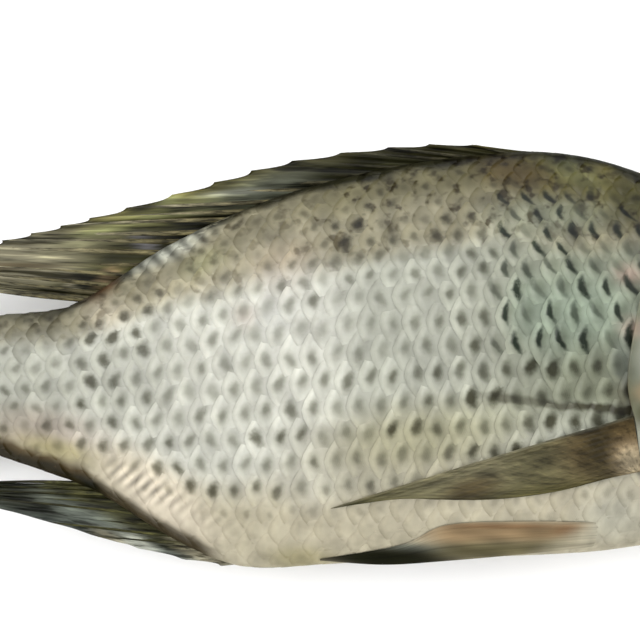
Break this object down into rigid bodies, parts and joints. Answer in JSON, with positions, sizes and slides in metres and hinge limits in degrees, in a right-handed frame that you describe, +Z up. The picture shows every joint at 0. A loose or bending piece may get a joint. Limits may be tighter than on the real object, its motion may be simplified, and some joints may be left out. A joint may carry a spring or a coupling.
{
  "type": "whole raw fish",
  "caption": "Whole raw deep-bodied freshwater fish with scales, folded fins and shut mouth, lying on its left flank with the right flank up.",
  "frame": {"origin": "middle of the footprint, on the plane that the lower (left) flank rests on", "axes": "+X towards the snout, +Y towards the back, +Z up, out of the right flank"},
  "size_m": [0.304, 0.1062, 0.0456],
  "materials": {
    "skin": "wet scaly skin: pale grey-green flanks with rows of dark spots, dark olive back and fins, cream belly",
    "eye": "wet clear cornea over a dark pupil and a brassy iris"
  },
  "bodies": {
    "root": {"fish": "skin", "eye_right": "eye", "eye_left": "eye"}
  },
  "joints": []
}
